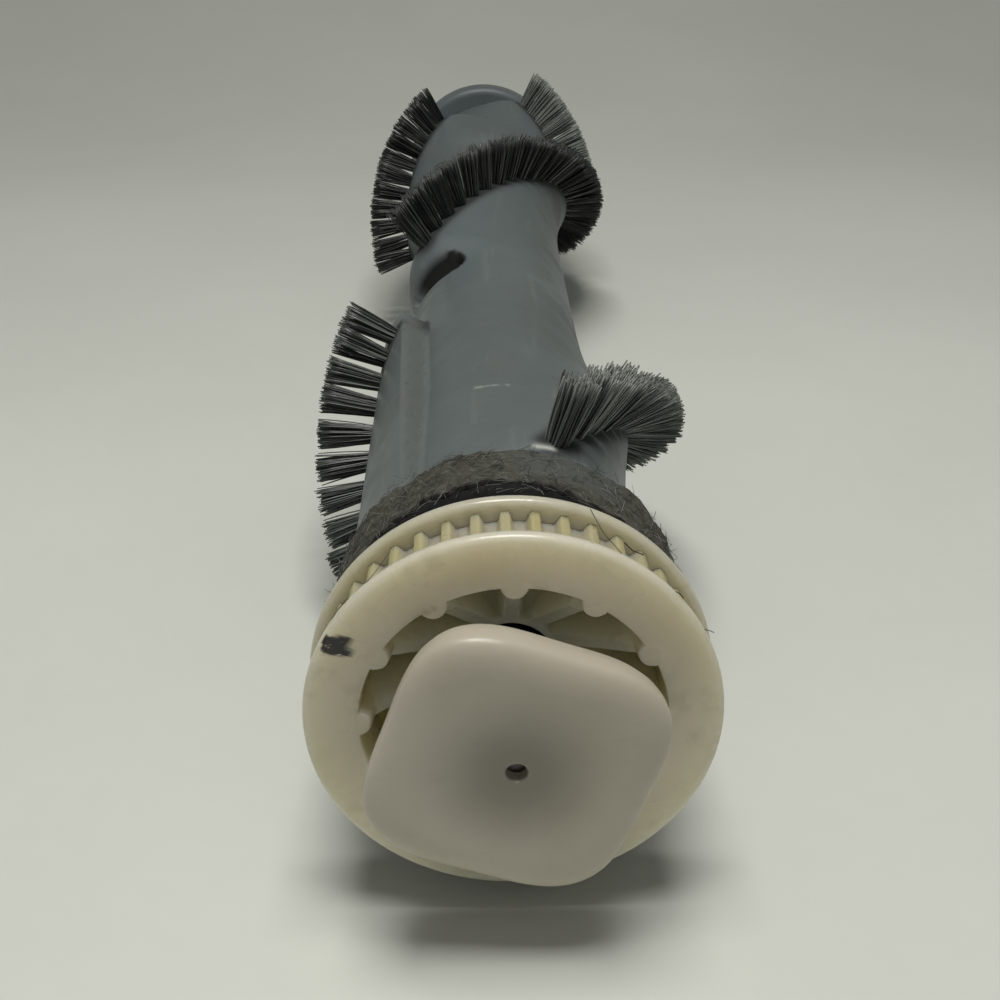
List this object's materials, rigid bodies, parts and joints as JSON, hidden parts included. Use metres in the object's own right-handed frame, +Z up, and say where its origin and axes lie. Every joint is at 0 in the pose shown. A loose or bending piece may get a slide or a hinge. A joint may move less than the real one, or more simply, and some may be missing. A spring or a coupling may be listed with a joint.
{
  "type": "vacuum roller brush",
  "caption": "Cylindrical vacuum brush roll with spiral rows of dark bristle tufts, a toothed-belt pulley and a square bearing block at each end.",
  "frame": {"origin": "on the floor under the middle of the roller's axis, half-way between the outer faces of the two end blocks", "axes": "+Y along the axis from the drive end to the far end, +Z up, +X to the right seen from the drive end"},
  "size_m": [0.0522, 0.266, 0.05],
  "materials": {
    "pulley_nylon": "satin ivory nylon, yellowed teeth, grime in the pockets",
    "block_nylon": "satin warm-white nylon, slightly see-through",
    "body_plastic": "satin slate-grey moulding with scuffs and lint",
    "bristle": "dark nylon bristle",
    "axle_steel": "drawn steel",
    "bearing_steel": "ground and polished",
    "cage_brass": "stamped"
  },
  "bodies": {
    "roller": {"roller_body": "body_plastic", "drive_pulley": "pulley_nylon", "pulley_rear_flange": "pulley_nylon", "far_end_cap": "body_plastic", "axle": "axle_steel", "drive_bearing_inner_ring": "bearing_steel", "far_bearing_inner_ring": "bearing_steel", "drive_axle_clip": "axle_steel", "far_axle_clip": "axle_steel", "left_front_tufts": "bristle", "right_front_tufts": "bristle", "right_rear_tufts": "bristle", "left_rear_tufts": "bristle", "right_end_tufts": "bristle"},
    "drive_block": {"drive_end_block": "block_nylon", "drive_bearing_outer_ring": "bearing_steel", "drive_bearing_shields": "bearing_steel"},
    "drive_cage": {"drive_bearing_balls": "bearing_steel", "drive_bearing_cage": "cage_brass"},
    "far_block": {"far_end_block": "block_nylon", "far_bearing_outer_ring": "bearing_steel", "far_bearing_shields": "bearing_steel"},
    "far_cage": {"far_bearing_balls": "bearing_steel", "far_bearing_cage": "cage_brass"}
  },
  "joints": [
    {"name": "drive_block_spin", "type": "hinge", "parent": "roller", "child": "drive_block", "pos_m": [0, -0.1275, 0.02395], "axis": [0, 1, 0], "continuous": true},
    {"name": "drive_cage_spin", "type": "hinge", "parent": "roller", "child": "drive_cage", "pos_m": [0, -0.1275, 0.02395], "axis": [0, 1, 0], "continuous": true},
    {"name": "far_block_spin", "type": "hinge", "parent": "roller", "child": "far_block", "pos_m": [0, 0.1275, 0.02395], "axis": [0, 1, 0], "continuous": true},
    {"name": "far_cage_spin", "type": "hinge", "parent": "roller", "child": "far_cage", "pos_m": [0, 0.1275, 0.02395], "axis": [0, 1, 0], "continuous": true}
  ],
  "couplings": [
    {"joint": "drive_cage_spin", "follows": "drive_block_spin", "ratio": 0.61111},
    {"joint": "far_cage_spin", "follows": "far_block_spin", "ratio": 0.61111}
  ]
}
